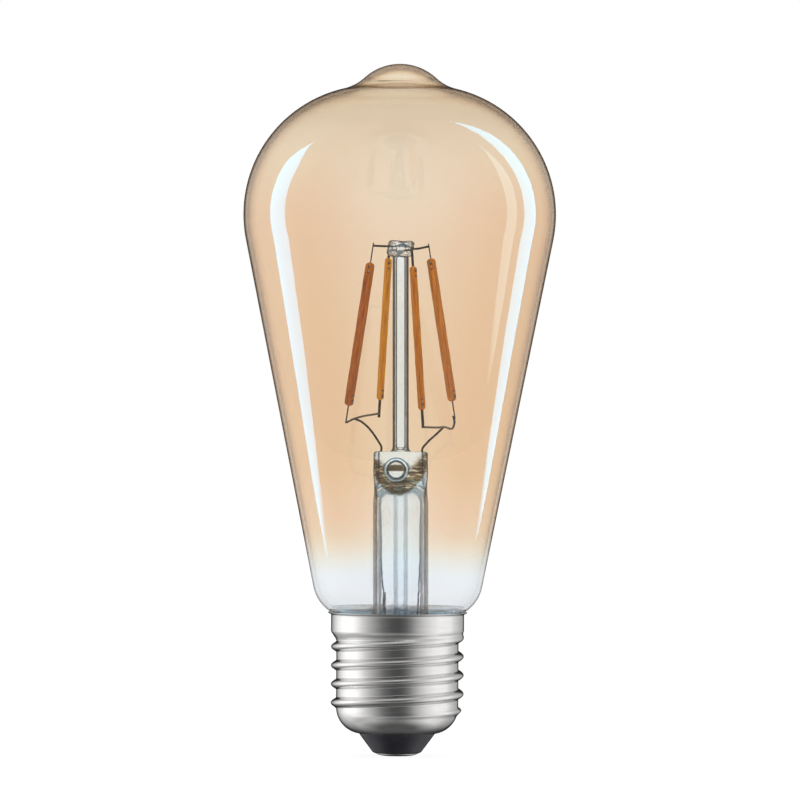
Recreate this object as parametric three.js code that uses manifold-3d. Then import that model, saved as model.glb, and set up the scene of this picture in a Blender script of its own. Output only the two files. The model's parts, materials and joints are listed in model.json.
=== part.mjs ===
// Smart LED filament lamp: a pear-shaped amber glass envelope on a 27 mm screw cap, with the glass mount, four
// filaments, and the driver and radio boards inside the cap. Every physical piece is a separate closed solid.
// Millimetres, +Z up. The origin is the middle of the centre contact's flat end, and the lamp's axis is +Z.
import * as THREE from "three";
import { mergeVertices } from "three/addons/utils/BufferGeometryUtils.js";
import Module from "manifold-3d";

const wasm = await Module();
wasm.setup();

// ---------------------------------------------------------------- driving dimensions
const GAP = 0.3; // between neighbouring solids
const WIRE_FIT = 0.15; // round a wire in its bore

// Envelope
const LAMP_LENGTH = 140.6;
const ENVELOPE_RADIUS = 31.75;
const GLASS_WALL = 0.8;
const WIDEST_HEIGHT = 110;
const CROWN_RADIUS = 26.2; // one arc turns from the cone over the shoulder to the crown
const CONE_ANGLE = rad(11.3);
const TIP_RADIUS = 10.8; // the domed tip on the crown
const TIP_FILLET = 9.7;
const HEEL_RADIUS = 8; // the turn from the cone in to the neck
const HEEL_HEIGHT = 34.4;
const HEEL_END = rad(65);
const NECK_RADIUS = 11;
const NECK_STRAIGHT_END = 24.8;
const NECK_TIP = { radius: 10.7, height: 21 };

// Screw cap: 26.4 mm over the thread, seven threads to the inch
const THREAD_PITCH = 3.629;
const THREAD_ROOT = 12.13;
const THREAD_CREST = 13.2;
const THREAD_SHARPNESS = 2; // the power of the raised cosine: 1 is a sine, more is a narrower crest
const THREAD_PHASE_HEIGHT = 21.8; // of the top crest, on the -X side
const THREAD_BOTTOM = { from: 8.4, to: 10.2 }; // the thread grows out of the cap's lower dome
const THREAD_TOP = { from: 23.6, to: 25.6 }; // and runs out into the skirt
const SHEET = 0.45;
const SKIRT_RADIUS = 13.5;
const SKIRT_TOP = 28.5;
const LIP = { radius: 14.2, height: 29.2 };
const CAP_DOME_RADIUS = 5.1;
const CAP_DOME_TOP = 9.9;
const CAP_HOLE_RADIUS = 8.1;

// Insulator and centre contact
const CONTACT_FLAT = 2.4;
const CONTACT_RADIUS = 4.3;
const CONTACT_DOME = 0.4;
const CONTACT_TOP = 0.6;
const RIVET = { radius: 1.2, top: 3.6 };
const INSULATOR_BOTTOM = 0.9;
const INSULATOR_CONE = { bottomRadius: 5.25, bottomHeight: 1.35, topRadius: 7.65, topHeight: 4.5 };
const INSULATOR_TOP = 7;

// Glass mount
const STEM_RADIUS = 5.6;
const STEM_WALL = 1;
const FLARE = { radius: 9.55, height: 21.4, top: 29.2 };
const PRESS = { bottom: 51.8, full: 56.6, top: 61.9, halfThickness: 2.4 };
const STEM_CAVITY_TOP = 55;
const BLOW_HOLE = { x: -0.7, height: 57.8, radius: 2.2 };
const EXHAUST = { radius: 1.65, bore: 1, bottom: 16.4, top: 56 };
const POST_RADIUS = 1.7;
const BEAD = { radius: 2.7, bottom: 101.5, top: 104.7 };

// Filaments
const FILAMENT = { topHeight: 100.5, bottomHeight: 71.4, topRadius: 6.6, bottomRadius: 11.4 };
const FILAMENT_SECTION = { radial: 2, across: 1.35 };
const STRIP = { thickness: 0.4, width: 0.8, slotThickness: 0.75, slotWidth: 1 };
const TAB = { width: 0.5, thickness: 0.2, inside: 1, pastWire: 0.6, bottom: 3.6 };
const FILAMENTS = [
  { name: "right", azimuth: rad(22), lift: 0.7 },
  { name: "back", azimuth: rad(112), lift: 0.9 },
  { name: "left", azimuth: rad(202), lift: -0.3 },
  { name: "front", azimuth: rad(292), lift: -1.1 },
];

// Wires
const LEAD_RADIUS = 0.22;
const DUMET_RADIUS = 0.2;
const OUTER_LEAD_RADIUS = 0.2;
const LEAD_OFFSET = 4.2;
const SUPPLY_RADIUS = 0.35;

// Driver
const BOARD = { radius: 10.3, bottom: 12, thickness: 1.2 };
const MODULE = { x: 10, y: 8, centreY: 5, bottom: 9.4, thickness: 0.8 };

function rad(degrees) {
  return (degrees * Math.PI) / 180;
}

// ---------------------------------------------------------------- materials
function finish(colour, roughness, metalness, opacity = 1) {
  const transparent = opacity < 1;
  return new THREE.MeshStandardMaterial({ color: colour, roughness, metalness, opacity, transparent });
}
const amberGlass = finish("#d9a55f", 0.05, 0, 0.4);
const clearGlass = finish("#eef2f4", 0.05, 0, 0.35);
const phosphor = finish("#c9741c", 0.6, 0);
const ceramic = finish("#e9e6dc", 0.5, 0);
const nickel = finish("#9b9894", 0.35, 1);
const dumet = finish("#8e3b2a", 0.45, 1);
const copper = finish("#b87345", 0.4, 1);
const capMetal = finish("#c9c7c3", 0.3, 1);
const blackVitrite = finish("#1d1c22", 0.25, 0);
const cement = finish("#d8cfbd", 0.9, 0);
const boardGreen = finish("#1e5a37", 0.5, 0);
const chipBlack = finish("#1b1b1d", 0.5, 0);
const ferrite = finish("#33312f", 0.7, 0);
const canAluminium = finish("#c4c6c8", 0.35, 1);
const filmYellow = finish("#b5832d", 0.5, 0);
const resistorBlue = finish("#3f6f93", 0.5, 0);
const sleeveWhite = finish("#e5e2da", 0.7, 0);
const insulatedRed = finish("#a02620", 0.55, 0);
const insulatedBlack = finish("#222124", 0.55, 0);

// ---------------------------------------------------------------- geometry helpers
const lamp = new THREE.Group();

function addPiece(name, geometry, material, parent = lamp) {
  const mesh = new THREE.Mesh(geometry, material);
  mesh.name = name;
  parent.add(mesh);
  return mesh;
}

// A point at an angle on a circle in the radius-height plane.
function onCircle(centre, radius, angle) {
  return new THREE.Vector2(centre.x + radius * Math.cos(angle), centre.y + radius * Math.sin(angle));
}

// Evenly spaced points of an arc, both ends included.
function arc(centre, radius, from, to, steps) {
  const points = [];
  for (let i = 0; i <= steps; i++) points.push(onCircle(centre, radius, from + ((to - from) * i) / steps));
  return points;
}

function point(radius, height) {
  return new THREE.Vector2(radius, height);
}

// A solid of revolution about Z. The outline runs upwards on its outside.
function lathe(outline, segments) {
  return new THREE.LatheGeometry(outline, segments).rotateX(Math.PI / 2);
}

function smooth(value, from, to) {
  return THREE.MathUtils.smoothstep(value, from, to);
}

// Three.js geometry to a solid, and back.
function solid(geometry) {
  const bare = geometry.clone();
  bare.deleteAttribute("normal");
  bare.deleteAttribute("uv");
  const merged = mergeVertices(bare, 1e-4);
  const vertProperties = new Float32Array(merged.attributes.position.array);
  const triVerts = new Uint32Array(merged.index.array);
  return new wasm.Manifold(new wasm.Mesh({ numProp: 3, vertProperties, triVerts }));
}
function geometryOf(body) {
  const { numProp, vertProperties, triVerts } = body.getMesh();
  const positions = [];
  for (let i = 0; i < vertProperties.length; i += numProp) positions.push(...vertProperties.slice(i, i + 3));
  const geometry = new THREE.BufferGeometry();
  geometry.setAttribute("position", new THREE.Float32BufferAttribute(positions, 3));
  geometry.setIndex(Array.from(triVerts));
  return geometry;
}
function cut(geometry, ...tools) {
  return geometryOf(tools.reduce((body, tool) => body.subtract(solid(tool)), solid(geometry)));
}

// An upright round rod, and one lying along a direction in the XY plane.
function rod(radius, bottom, top, segments, x = 0, y = 0) {
  const geometry = new THREE.CylinderGeometry(radius, radius, top - bottom, segments).rotateX(Math.PI / 2);
  return geometry.translate(x, y, (bottom + top) / 2);
}
function lyingRod(radius, length, segments, azimuth, x, y, height) {
  const geometry = new THREE.CylinderGeometry(radius, radius, length, segments).rotateZ(Math.PI / 2);
  return geometry.rotateZ(azimuth).translate(x, y, height);
}

function block(x, y, z, width, depth, height) {
  return new THREE.BoxGeometry(width, depth, height).translate(x, y, z + height / 2);
}

// A round wire along a smooth line through the points.
function wire(points, radius, steps, sides = 6) {
  const path = new THREE.CatmullRomCurve3(points.map((p) => new THREE.Vector3(...p)), false, "centripetal");
  const section = new THREE.Shape().absarc(0, 0, radius, 0, 2 * Math.PI);
  return new THREE.ExtrudeGeometry(section, { steps, curveSegments: sides / 2, bevelEnabled: false, extrudePath: path });
}

// ---------------------------------------------------------------- envelope
// The centre of a hollow fillet that touches two circles from outside.
function filletCentre(a, radiusA, b, radiusB, fillet) {
  const reachA = radiusA + fillet;
  const reachB = radiusB + fillet;
  const between = a.distanceTo(b);
  const along = (reachA ** 2 - reachB ** 2 + between ** 2) / (2 * between);
  const aside = Math.sqrt(reachA ** 2 - along ** 2);
  const unit = b.clone().sub(a).divideScalar(between);
  return point(a.x + unit.x * along - unit.y * aside, a.y + unit.y * along + unit.x * aside);
}

// The envelope's outline from the tip down to the neck's end. inset moves it into the glass.
function envelopeOutline(inset) {
  const tip = point(0, LAMP_LENGTH - TIP_RADIUS);
  const crown = point(ENVELOPE_RADIUS - CROWN_RADIUS, WIDEST_HEIGHT);
  const fillet = filletCentre(tip, TIP_RADIUS, crown, CROWN_RADIUS, TIP_FILLET);
  const tipEnd = Math.atan2(fillet.y - tip.y, fillet.x - tip.x);
  const crownStart = Math.atan2(fillet.y - crown.y, fillet.x - crown.x);
  const coneTop = onCircle(crown, CROWN_RADIUS, -CONE_ANGLE);
  const coneFoot = coneTop.x - (coneTop.y - HEEL_HEIGHT) * Math.tan(CONE_ANGLE);
  const heel = onCircle(point(coneFoot, HEEL_HEIGHT), -HEEL_RADIUS, -CONE_ANGLE);
  const heelFoot = onCircle(heel, HEEL_RADIUS, -HEEL_END);
  const neckFillet = (heelFoot.x - NECK_RADIUS) / (1 - Math.cos(HEEL_END));
  const neckCentre = onCircle(heelFoot, neckFillet, -HEEL_END);
  return [
    ...arc(tip, TIP_RADIUS - inset, Math.PI / 2, tipEnd, 5),
    ...arc(fillet, TIP_FILLET + inset, Math.PI + tipEnd, Math.PI + crownStart, 5).slice(1),
    ...arc(crown, CROWN_RADIUS - inset, crownStart, -CONE_ANGLE, 11).slice(1),
    ...arc(heel, HEEL_RADIUS - inset, -CONE_ANGLE, -HEEL_END, 5),
    ...arc(neckCentre, neckFillet + inset, Math.PI - HEEL_END, Math.PI, 3).slice(1),
    point(NECK_RADIUS - inset, NECK_STRAIGHT_END),
    point(NECK_TIP.radius - inset, NECK_TIP.height),
  ];
}
function makeEnvelope() {
  const outside = envelopeOutline(0);
  const inside = envelopeOutline(GLASS_WALL);
  outside[0].x = 0;
  inside[0].x = 0;
  addPiece("glass_envelope", lathe([...inside, ...outside.reverse()], 36), amberGlass);
}

// ---------------------------------------------------------------- screw cap
// How far the thread stands out from the plain wall, at a height and an angle round the axis.
function threadHeight(height, angle) {
  const turns = (height - THREAD_PHASE_HEIGHT) / THREAD_PITCH - (angle - Math.PI) / (2 * Math.PI);
  const crest = ((1 + Math.cos(2 * Math.PI * turns)) / 2) ** THREAD_SHARPNESS;
  const grown = smooth(height, THREAD_BOTTOM.from, THREAD_BOTTOM.to);
  const left = 1 - smooth(height, THREAD_TOP.from, THREAD_TOP.to);
  return (THREAD_CREST - THREAD_ROOT) * crest * grown * left;
}
// The plain wall's outer radius above the lower dome: the thread's root, the skirt and the flared lip.
function wallRadius(height) {
  const skirt = smooth(height, THREAD_TOP.from, THREAD_TOP.to) * (SKIRT_RADIUS - THREAD_ROOT);
  const lip = smooth(height, SKIRT_TOP, LIP.height) * (LIP.radius - SKIRT_RADIUS);
  return THREAD_ROOT + skirt + lip;
}
function makeCapShell() {
  const domeCentre = point(THREAD_ROOT - CAP_DOME_RADIUS, CAP_DOME_TOP);
  const rowsPerPitch = 6;
  const wall = (inset) => {
    const holeAngle = -Math.acos((CAP_HOLE_RADIUS - domeCentre.x) / (CAP_DOME_RADIUS - inset));
    const points = arc(domeCentre, CAP_DOME_RADIUS - inset, holeAngle, 0, 6);
    const step = THREAD_PITCH / rowsPerPitch;
    const start = inset > 0 ? THREAD_TOP.from - step : CAP_DOME_TOP + step;
    for (let z = start; z < THREAD_TOP.to; z += step) points.push(point(wallRadius(z) - inset, z));
    for (const z of [THREAD_TOP.to, SKIRT_TOP, (SKIRT_TOP + LIP.height) / 2, LIP.height])
      points.push(point(wallRadius(z) - inset, z));
    return points;
  };
  const outside = wall(0);
  const inside = wall(SHEET);
  const geometry = lathe([...outside, ...inside.reverse(), outside[0]], 32);
  const position = geometry.attributes.position;
  for (let i = 0; i < position.count; i++) {
    const x = position.getX(i);
    const y = position.getY(i);
    const z = position.getZ(i);
    const radius = Math.hypot(x, y);
    const outer = z > CAP_DOME_TOP - 1.5 && radius > wallRadius(z) - SHEET / 2;
    const grown = outer ? 1 + threadHeight(z, Math.atan2(y, x)) / radius : 1;
    position.setXY(i, x * grown, y * grown);
  }
  addPiece("cap_shell", geometry, capMetal);
}

function makeInsulator() {
  const throat = CAP_HOLE_RADIUS - GAP;
  const flange = 9.2;
  const flangeBottom = 6.2;
  const recess = 3.4;
  const hole = RIVET.radius + GAP;
  const outline = [
    point(hole, INSULATOR_BOTTOM),
    point(CONTACT_RADIUS + 0.4, INSULATOR_BOTTOM),
    point(INSULATOR_CONE.bottomRadius, INSULATOR_CONE.bottomHeight),
    point(INSULATOR_CONE.topRadius, INSULATOR_CONE.topHeight),
    point(throat, INSULATOR_CONE.topHeight + 0.3),
    point(throat, flangeBottom - 0.4),
    point(flange - 0.3, flangeBottom),
    point(flange, flangeBottom + 0.2),
    point(flange - 0.3, INSULATOR_TOP),
    point(recess + 1.4, INSULATOR_TOP),
    point(recess, INSULATOR_TOP - 2),
    point(hole, INSULATOR_TOP - 2),
    point(hole, INSULATOR_BOTTOM),
  ];
  addPiece("cap_insulator", lathe(outline, 32), blackVitrite);
}

function makeContact() {
  const rise = CONTACT_RADIUS - CONTACT_FLAT;
  const outline = [
    point(0, 0),
    point(CONTACT_FLAT, 0),
    point(CONTACT_FLAT + rise * 0.55, CONTACT_DOME * 0.3),
    point(CONTACT_FLAT + rise * 0.85, CONTACT_DOME * 0.65),
    point(CONTACT_RADIUS, CONTACT_DOME),
    point(CONTACT_RADIUS, CONTACT_TOP),
    point(RIVET.radius, CONTACT_TOP),
    point(RIVET.radius, RIVET.top),
    point(0, RIVET.top),
  ];
  addPiece("centre_contact", lathe(outline, 28), capMetal);
}

function makeCement() {
  const inner = NECK_RADIUS + GAP;
  const outer = SKIRT_RADIUS - SHEET - GAP;
  const bottom = 25.2;
  const top = 26.9;
  const outline = [point(inner, bottom), point(outer, bottom), point(outer, top), point(inner, top), point(inner, bottom)];
  const notch = block(0, -12, bottom - 1, 1.6, 3, top - bottom + 2);
  addPiece("basing_cement", cut(lathe(outline, 36), notch), cement);
}

// ---------------------------------------------------------------- glass mount
// Flattens a tube front to back towards the pinched press at its top.
function pinch(geometry) {
  const position = geometry.attributes.position;
  for (let i = 0; i < position.count; i++) {
    const flat = smooth(position.getZ(i), PRESS.bottom, PRESS.full);
    position.setY(i, position.getY(i) * (1 - flat * (1 - PRESS.halfThickness / STEM_RADIUS)));
  }
  return geometry;
}
function makeStem() {
  const flareRise = FLARE.top - FLARE.height;
  const flare = (inset) =>
    [0, 0.25, 0.5, 0.75, 1].map((t) => {
      const radius = STEM_RADIUS + (FLARE.radius - STEM_RADIUS) * (1 - t) ** 2;
      return point(radius - inset, FLARE.height + flareRise * t);
    });
  const heights = [PRESS.bottom, 53.1, 54.3, 55.5, PRESS.full];
  const waist = heights.map((z) => point(STEM_RADIUS - 0.3 * Math.sin(smooth(z, 50.5, 58) * Math.PI), z));
  const body = [
    point(0, FLARE.height),
    ...flare(0),
    ...waist,
    point(5.5, 58),
    point(5.45, PRESS.top - 1.2),
    point(5.1, PRESS.top - 0.35),
    point(4.5, PRESS.top),
    point(0, PRESS.top),
  ];
  const inner = STEM_RADIUS - STEM_WALL;
  const cavity = [
    point(0, FLARE.height - 1),
    point(FLARE.radius - STEM_WALL, FLARE.height - 1),
    ...flare(STEM_WALL),
    point(inner, PRESS.bottom - 0.8),
    point(inner - 0.3, PRESS.bottom + 0.8),
    point(inner - 1.3, STEM_CAVITY_TOP - 0.8),
    point(inner - 2.4, STEM_CAVITY_TOP),
    point(0, STEM_CAVITY_TOP),
  ];
  const bores = [-LEAD_OFFSET, LEAD_OFFSET].map((x) => rod(DUMET_RADIUS + WIRE_FIT, 50, PRESS.top + 1, 8, x));
  const exhaustBore = rod(EXHAUST.radius + WIRE_FIT, 54, EXHAUST.top + GAP, 16);
  const passage = rod(EXHAUST.bore, EXHAUST.top, BLOW_HOLE.height + 0.5, 12, BLOW_HOLE.x / 2);
  const blowHole = new THREE.CylinderGeometry(1.3, BLOW_HOLE.radius, 3.2, 18).translate(BLOW_HOLE.x, -1.9, BLOW_HOLE.height);
  const tools = [pinch(lathe(cavity, 28)), ...bores, exhaustBore, passage, blowHole];
  addPiece("stem_press_and_flare", cut(pinch(lathe(body, 28)), ...tools), clearGlass);
}

function makeExhaustTube() {
  const { radius, bore, bottom, top } = EXHAUST;
  const tipOutside = arc(point(0, bottom + radius), radius, -Math.PI / 2, 0, 4);
  const tipInside = arc(point(0, bottom + radius + 0.6), bore, 0, -Math.PI / 2, 3);
  const outline = [...tipOutside, point(radius, top), point(bore, top), ...tipInside];
  outline[0].x = 0;
  outline[outline.length - 1].x = 0;
  addPiece("exhaust_tube", lathe(outline, 16), clearGlass);
}

// The glass rod, with the bead that its melted end makes round the anchor wires.
function makeSupportPost(anchors) {
  const edge = 0.9;
  const outline = [
    point(0, PRESS.top + GAP),
    point(POST_RADIUS + 0.35, PRESS.top + GAP),
    point(POST_RADIUS, PRESS.top + 1.2),
    point(POST_RADIUS, BEAD.bottom - 0.5),
    ...arc(point(BEAD.radius - edge, BEAD.bottom + edge), edge, -Math.PI / 2, 0, 3),
    ...arc(point(BEAD.radius - edge, BEAD.top - edge), edge, 0, Math.PI / 2, 3),
    point(0, BEAD.top),
  ];
  const bores = anchors.map((a) => lyingRod(LEAD_RADIUS + WIRE_FIT, 8, 8, a.azimuth, 0, 0, a.height));
  addPiece("support_post", cut(lathe(outline, 20), ...bores), clearGlass);
}

// ---------------------------------------------------------------- filaments and their wires
const FILAMENT_LEAN = Math.atan2(
  FILAMENT.bottomRadius - FILAMENT.topRadius,
  FILAMENT.topHeight - FILAMENT.bottomHeight,
);
const FILAMENT_HALF = (FILAMENT.topHeight - FILAMENT.bottomHeight) / 2 / Math.cos(FILAMENT_LEAN);

// Where a filament's line, carried on past its ends, is at a height.
function onFilament(filament, height, outwards = 0) {
  const fall = FILAMENT.topHeight + filament.lift - height;
  const radius = FILAMENT.topRadius + fall * Math.tan(FILAMENT_LEAN) + outwards;
  return [radius * Math.cos(filament.azimuth), radius * Math.sin(filament.azimuth), height];
}

function phosphorSleeve() {
  const { radial, across } = FILAMENT_SECTION;
  const section = new THREE.Shape().absellipse(0, 0, radial / 2, across / 2, 0, 2 * Math.PI);
  const slot = new THREE.Path();
  slot.moveTo(-STRIP.slotThickness / 2, -STRIP.slotWidth / 2);
  slot.lineTo(STRIP.slotThickness / 2, -STRIP.slotWidth / 2);
  slot.lineTo(STRIP.slotThickness / 2, STRIP.slotWidth / 2);
  slot.lineTo(-STRIP.slotThickness / 2, STRIP.slotWidth / 2);
  section.holes.push(slot);
  const geometry = new THREE.ExtrudeGeometry(section, {
    depth: 2 * FILAMENT_HALF,
    curveSegments: 8,
    bevelEnabled: false,
  });
  return geometry.translate(0, 0, -FILAMENT_HALF);
}

function makeFilament(filament) {
  const turned = new THREE.Group();
  turned.rotation.z = filament.azimuth;
  const leaning = new THREE.Group();
  leaning.rotation.y = -FILAMENT_LEAN;
  leaning.position.x = (FILAMENT.topRadius + FILAMENT.bottomRadius) / 2;
  leaning.position.z = (FILAMENT.topHeight + FILAMENT.bottomHeight) / 2 + filament.lift;
  turned.add(leaning);
  lamp.add(turned);
  const tabEnd = FILAMENT_HALF - TAB.inside;
  const stripLength = 2 * (tabEnd - GAP);
  const strip = new THREE.BoxGeometry(STRIP.thickness, STRIP.width, stripLength);
  const anchor = ANCHORS.find((one) => one.ends.includes(filament.name));
  const topPast = (anchor.height + TAB.pastWire - FILAMENT.topHeight - filament.lift) / Math.cos(FILAMENT_LEAN);
  const topTab = block(0, 0, tabEnd, TAB.thickness, TAB.width, TAB.inside + topPast);
  const bottomLength = TAB.inside + TAB.bottom;
  const bottomTab = block(0, 0, -tabEnd - bottomLength, TAB.thickness, TAB.width, bottomLength);
  const name = `filament_${filament.name}`;
  addPiece(`${name}_phosphor`, phosphorSleeve(), phosphor, leaning);
  addPiece(`${name}_chip_strip`, strip, ceramic, leaning);
  addPiece(`${name}_top_tab`, topTab, nickel, leaning);
  addPiece(`${name}_bottom_tab`, bottomTab, nickel, leaning);
}

// Two wires cross in the bead, one over the other, and each joins the tops of two opposite filaments.
const ANCHORS = [
  { name: "anchor_wire_sideways", azimuth: FILAMENTS[0].azimuth, height: 103.6, ends: ["right", "left"] },
  { name: "anchor_wire_front_back", azimuth: FILAMENTS[1].azimuth, height: 102.7, ends: ["back", "front"] },
];
function filamentNamed(name) {
  return FILAMENTS.find((filament) => filament.name === name);
}
const TOUCH = TAB.thickness / 2 + LEAD_RADIUS + 0.12; // a wire's centre line from the middle of a tab it is welded to

function makeAnchor(anchor) {
  const [a, b] = anchor.ends.map((end) => onFilament(filamentNamed(end), anchor.height, -TOUCH + LEAD_RADIUS));
  addPiece(anchor.name, wire([a, [0, 0, anchor.height], b], LEAD_RADIUS, 2), nickel);
}

// A bus wire joins the lower ends of two neighbouring filaments, and a lead comes up to it from the press.
function makeBusWires() {
  const left = [
    onFilament(filamentNamed("left"), 67.9, -TOUCH),
    [-9.4, -1.2, 68.5],
    onFilament(filamentNamed("back"), 69.6, -TOUCH),
  ];
  const right = [
    onFilament(filamentNamed("front"), 66.9, -TOUCH),
    [8.6, -1.9, 66.9],
    onFilament(filamentNamed("right"), 67.6, -TOUCH - 0.1),
    onFilament(filamentNamed("right"), 69.2, -TOUCH - 0.1),
  ];
  addPiece("bus_wire_left", wire(left, LEAD_RADIUS, 8), nickel);
  addPiece("bus_wire_right", wire(right, LEAD_RADIUS, 12), nickel);
}
function makeInnerLeads() {
  const start = PRESS.top + 0.15;
  const left = [
    [-LEAD_OFFSET, 0, start],
    [-LEAD_OFFSET, 0, start + 0.9],
    [-5.3, 0, 64.8],
    [-7.6, -0.3, 67.6],
    [-8.8, -0.8, 68.1],
  ];
  const right = [
    [LEAD_OFFSET, 0, start],
    [LEAD_OFFSET + 0.1, 0, start + 0.9],
    [5.6, -0.4, 64.2],
    [7.2, -1.2, 65.7],
    [8, -1.6, 66.4],
  ];
  addPiece("inner_lead_left", wire(left, LEAD_RADIUS, 12), nickel);
  addPiece("inner_lead_right", wire(right, LEAD_RADIUS, 12), nickel);
}
function makeSealsAndOuterLeads() {
  const sealBottom = 55.4;
  const boardTop = BOARD.bottom + BOARD.thickness;
  for (const [side, sign] of [["left", -1], ["right", 1]]) {
    const x = sign * LEAD_OFFSET;
    addPiece(`dumet_seal_${side}`, rod(DUMET_RADIUS, sealBottom, PRESS.top, 8, x), dumet);
    const outer = [
      [x, 0, sealBottom - 0.15],
      [x, 0, 50],
      [sign * 3.8, 0, 40],
      [sign * 3.6, -0.2, 30],
      [sign * 4.2, -0.4, 22],
      [sign * 4.2, -0.4, boardTop + GAP],
    ];
    addPiece(`outer_lead_${side}`, wire(outer, OUTER_LEAD_RADIUS, 12), copper);
  }
}

// ---------------------------------------------------------------- driver and radio
function makeBoard() {
  const antennaHole = rod(0.7, BOARD.bottom - 1, BOARD.bottom + 3, 10, -3, 3.4);
  const disc = rod(BOARD.radius, BOARD.bottom, BOARD.bottom + BOARD.thickness, 36);
  addPiece("driver_board", cut(disc, antennaHole), boardGreen);
}
function makeBoardParts() {
  const top = BOARD.bottom + BOARD.thickness + GAP;
  addPiece("bridge_rectifier", block(-5.8, 5.6, top, 4.6, 3.8, 1.7), chipBlack);
  addPiece("driver_chip", block(6, 4.6, top, 3.9, 4.8, 1.5), chipBlack);
  addPiece("smoothing_capacitor", rod(2.5, top, top + 5.2, 20, -5.6, -4.9), canAluminium);
  addPiece("film_capacitor", block(0.1, -7.4, top, 4.2, 2.4, 3.9), filmYellow);
  const core = { x: 6.4, y: -3.9 };
  const bobbin = [
    point(0, 0),
    point(2.5, 0),
    point(2.5, 0.7),
    point(1.1, 0.7),
    point(1.1, 3.6),
    point(2.5, 3.6),
    point(2.5, 4.3),
    point(0, 4.3),
  ];
  addPiece("choke_core", lathe(bobbin, 18).translate(core.x, core.y, top), ferrite);
  const winding = [point(1.4, 1), point(2.3, 1), point(2.3, 3.3), point(1.4, 3.3), point(1.4, 1)];
  addPiece("choke_winding", lathe(winding, 18).translate(core.x, core.y, top), copper);
}
function makeRadio() {
  const { x, y, centreY, bottom, thickness } = MODULE;
  addPiece("radio_board", block(0, centreY, bottom, x, y, thickness), boardGreen);
  const canTop = bottom - GAP;
  addPiece("radio_shield_can", block(0.9, centreY - 0.2, canTop - 1.5, 7, 6, 1.5), canAluminium);
  const pinLength = BOARD.bottom - GAP - (bottom + thickness + GAP);
  const pins = [];
  for (const side of [-1, 1])
    for (const row of [-1, 0, 1])
      pins.push(block(side * 4.3, centreY + row * 2, bottom + thickness + GAP, 0.6, 0.6, pinLength));
  const strap = block(0, centreY, bottom + thickness + GAP, 9.2, 0.5, 0.5);
  const rails = [-4.3, 4.3].map((at) => block(at, centreY, bottom + thickness + GAP, 0.6, 4.6, 0.5));
  const header = [...pins, ...rails].reduce((body, part) => body.add(solid(part)), solid(strap));
  addPiece("radio_pin_header", geometryOf(header), nickel);
  const antenna = [
    [-3, 3.4, bottom + thickness + GAP + 0.6],
    [-3, 3.4, 16],
    [-2.9, 2.9, 22],
    [-2.7, 1.9, 27],
    [-2.8, 1.5, 33],
  ];
  addPiece("radio_antenna_wire", wire(antenna, 0.25, 10), insulatedBlack);
}
function makeSupplyWires() {
  const fuse = { y: -5.6, height: 9.3, half: 2.9, radius: 1.1 };
  addPiece("fusible_resistor", lyingRod(fuse.radius, 2 * fuse.half, 14, 0, 0, fuse.y, fuse.height), resistorBlue);
  const sleeveInner = fuse.radius + GAP;
  const sleeve = cut(
    lyingRod(sleeveInner + 0.4, 2 * fuse.half - 0.4, 14, 0, 0, fuse.y, fuse.height),
    lyingRod(sleeveInner, 2 * fuse.half + 2, 14, 0, 0, fuse.y, fuse.height),
  );
  addPiece("resistor_sleeve", sleeve, sleeveWhite);
  const live = [
    [0, 0, RIVET.top + 0.2],
    [0, 0, 5.6],
    [-2.2, -1.2, 7.7],
    [-5, -3.6, 8.7],
    [-4.9, -5.2, 9.2],
    [-fuse.half - 0.3, fuse.y, fuse.height],
  ];
  addPiece("live_lead", wire(live, SUPPLY_RADIUS, 14), insulatedRed);
  const up = [
    [fuse.half + 0.2, fuse.y, fuse.height],
    [fuse.half + 1.2, fuse.y, fuse.height + 0.2],
    [fuse.half + 1.7, fuse.y, fuse.height + 1.2],
    [fuse.half + 1.7, fuse.y, BOARD.bottom - GAP],
  ];
  addPiece("resistor_tail", wire(up, OUTER_LEAD_RADIUS, 8), nickel);
  const neutral = [
    [0, -9.4, BOARD.bottom + BOARD.thickness + GAP],
    [0, -9.5, 16.6],
    [0, -10.9, 19.8],
    [0, -11.2, 21],
    [0, -11.2, 23.8],
    [0, -11.8, 25.4],
    [0, -12.1, 26.8],
    [0, -12.4, 28],
  ];
  addPiece("neutral_lead", wire(neutral, OUTER_LEAD_RADIUS, 16), insulatedBlack);
}

// ---------------------------------------------------------------- assembly
makeEnvelope();
makeCapShell();
makeInsulator();
makeContact();
makeCement();
makeStem();
makeExhaustTube();
makeSupportPost(ANCHORS);
FILAMENTS.forEach(makeFilament);
ANCHORS.forEach(makeAnchor);
makeBusWires();
makeInnerLeads();
makeSealsAndOuterLeads();
makeBoard();
makeBoardParts();
makeRadio();
makeSupplyWires();

export default lamp;
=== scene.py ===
# Looks for the amber filament lamp: fine glass, thread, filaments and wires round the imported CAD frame.
# Shapes are worked out in millimetres and scaled by MM. The lamp's axis is Z, and the cap is at the bottom.
import json
from math import acos, atan2, cos, hypot, pi, radians, sin, sqrt, tan

import bmesh
import bpy
from mathutils import Matrix, Vector

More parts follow.
